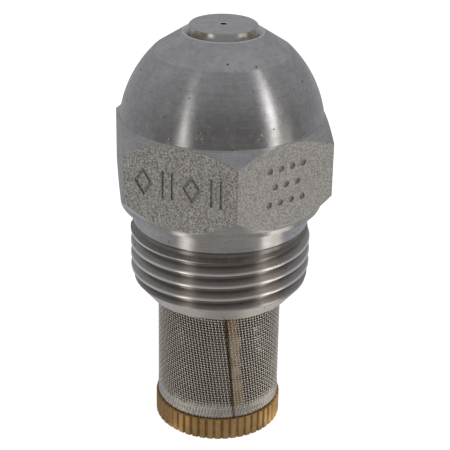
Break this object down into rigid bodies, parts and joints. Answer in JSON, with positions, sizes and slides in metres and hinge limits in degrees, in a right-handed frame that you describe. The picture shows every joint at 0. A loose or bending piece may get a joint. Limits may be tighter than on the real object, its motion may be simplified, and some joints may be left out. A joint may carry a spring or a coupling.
{
  "type": "oil burner nozzle",
  "caption": "Threaded oil burner nozzle: hexagonal domed steel body, orifice disc, swirl distributor, retainer screw and a wire cloth strainer with a knurled brass cap.",
  "frame": {"origin": "middle of the strainer cap's underside, where the spray axis meets the surface that the nozzle stands on", "axes": "+Z along the spray axis, the way the oil leaves; -Y through one corner of the hexagon; X across a pair of its flats"},
  "size_m": [0.0158, 0.0182, 0.0336],
  "materials": {
    "body_steel": "turned and blasted stainless steel",
    "disc_steel": "ground stainless steel",
    "brass": "turned brass",
    "wire_cloth": "woven stainless wire",
    "braze": "rough braze filler",
    "solder": "wiped solder, satin",
    "cap_brass": "knurled brass, slightly tarnished"
  },
  "bodies": {
    "strainer": {"strainer_core": "brass", "strainer_mesh": "wire_cloth", "seam_braze": "braze", "solder_band": "solder", "end_cap": "cap_brass"},
    "disc": {"orifice_disc": "disc_steel"},
    "nozzle": {"nozzle_body": "body_steel"},
    "plug": {"distributor": "disc_steel"},
    "retainer": {"retainer_screw": "brass"}
  },
  "joints": [
    {"name": "nozzle_rise", "type": "slide", "parent": "strainer", "child": "disc", "axis": [0, 0, 1], "range_m": [0, 0.00529]},
    {"name": "nozzle_turn", "type": "hinge", "parent": "disc", "child": "nozzle", "pos_m": [0, 0, 0.02], "axis": [0, 0, 1], "range_deg": [0, 1800]},
    {"name": "distributor_drop", "type": "slide", "parent": "nozzle", "child": "plug", "axis": [0, 0, -1], "range_m": [0, 0.00212]},
    {"name": "retainer_turn", "type": "hinge", "parent": "plug", "child": "retainer", "pos_m": [0, 0, 0.0215], "axis": [0, 0, -1], "range_deg": [0, 720]}
  ],
  "couplings": [
    {"joint": "nozzle_turn", "follows": "nozzle_rise", "rad_per_m": 5936.9},
    {"joint": "retainer_turn", "follows": "distributor_drop", "rad_per_m": 5936.9}
  ]
}
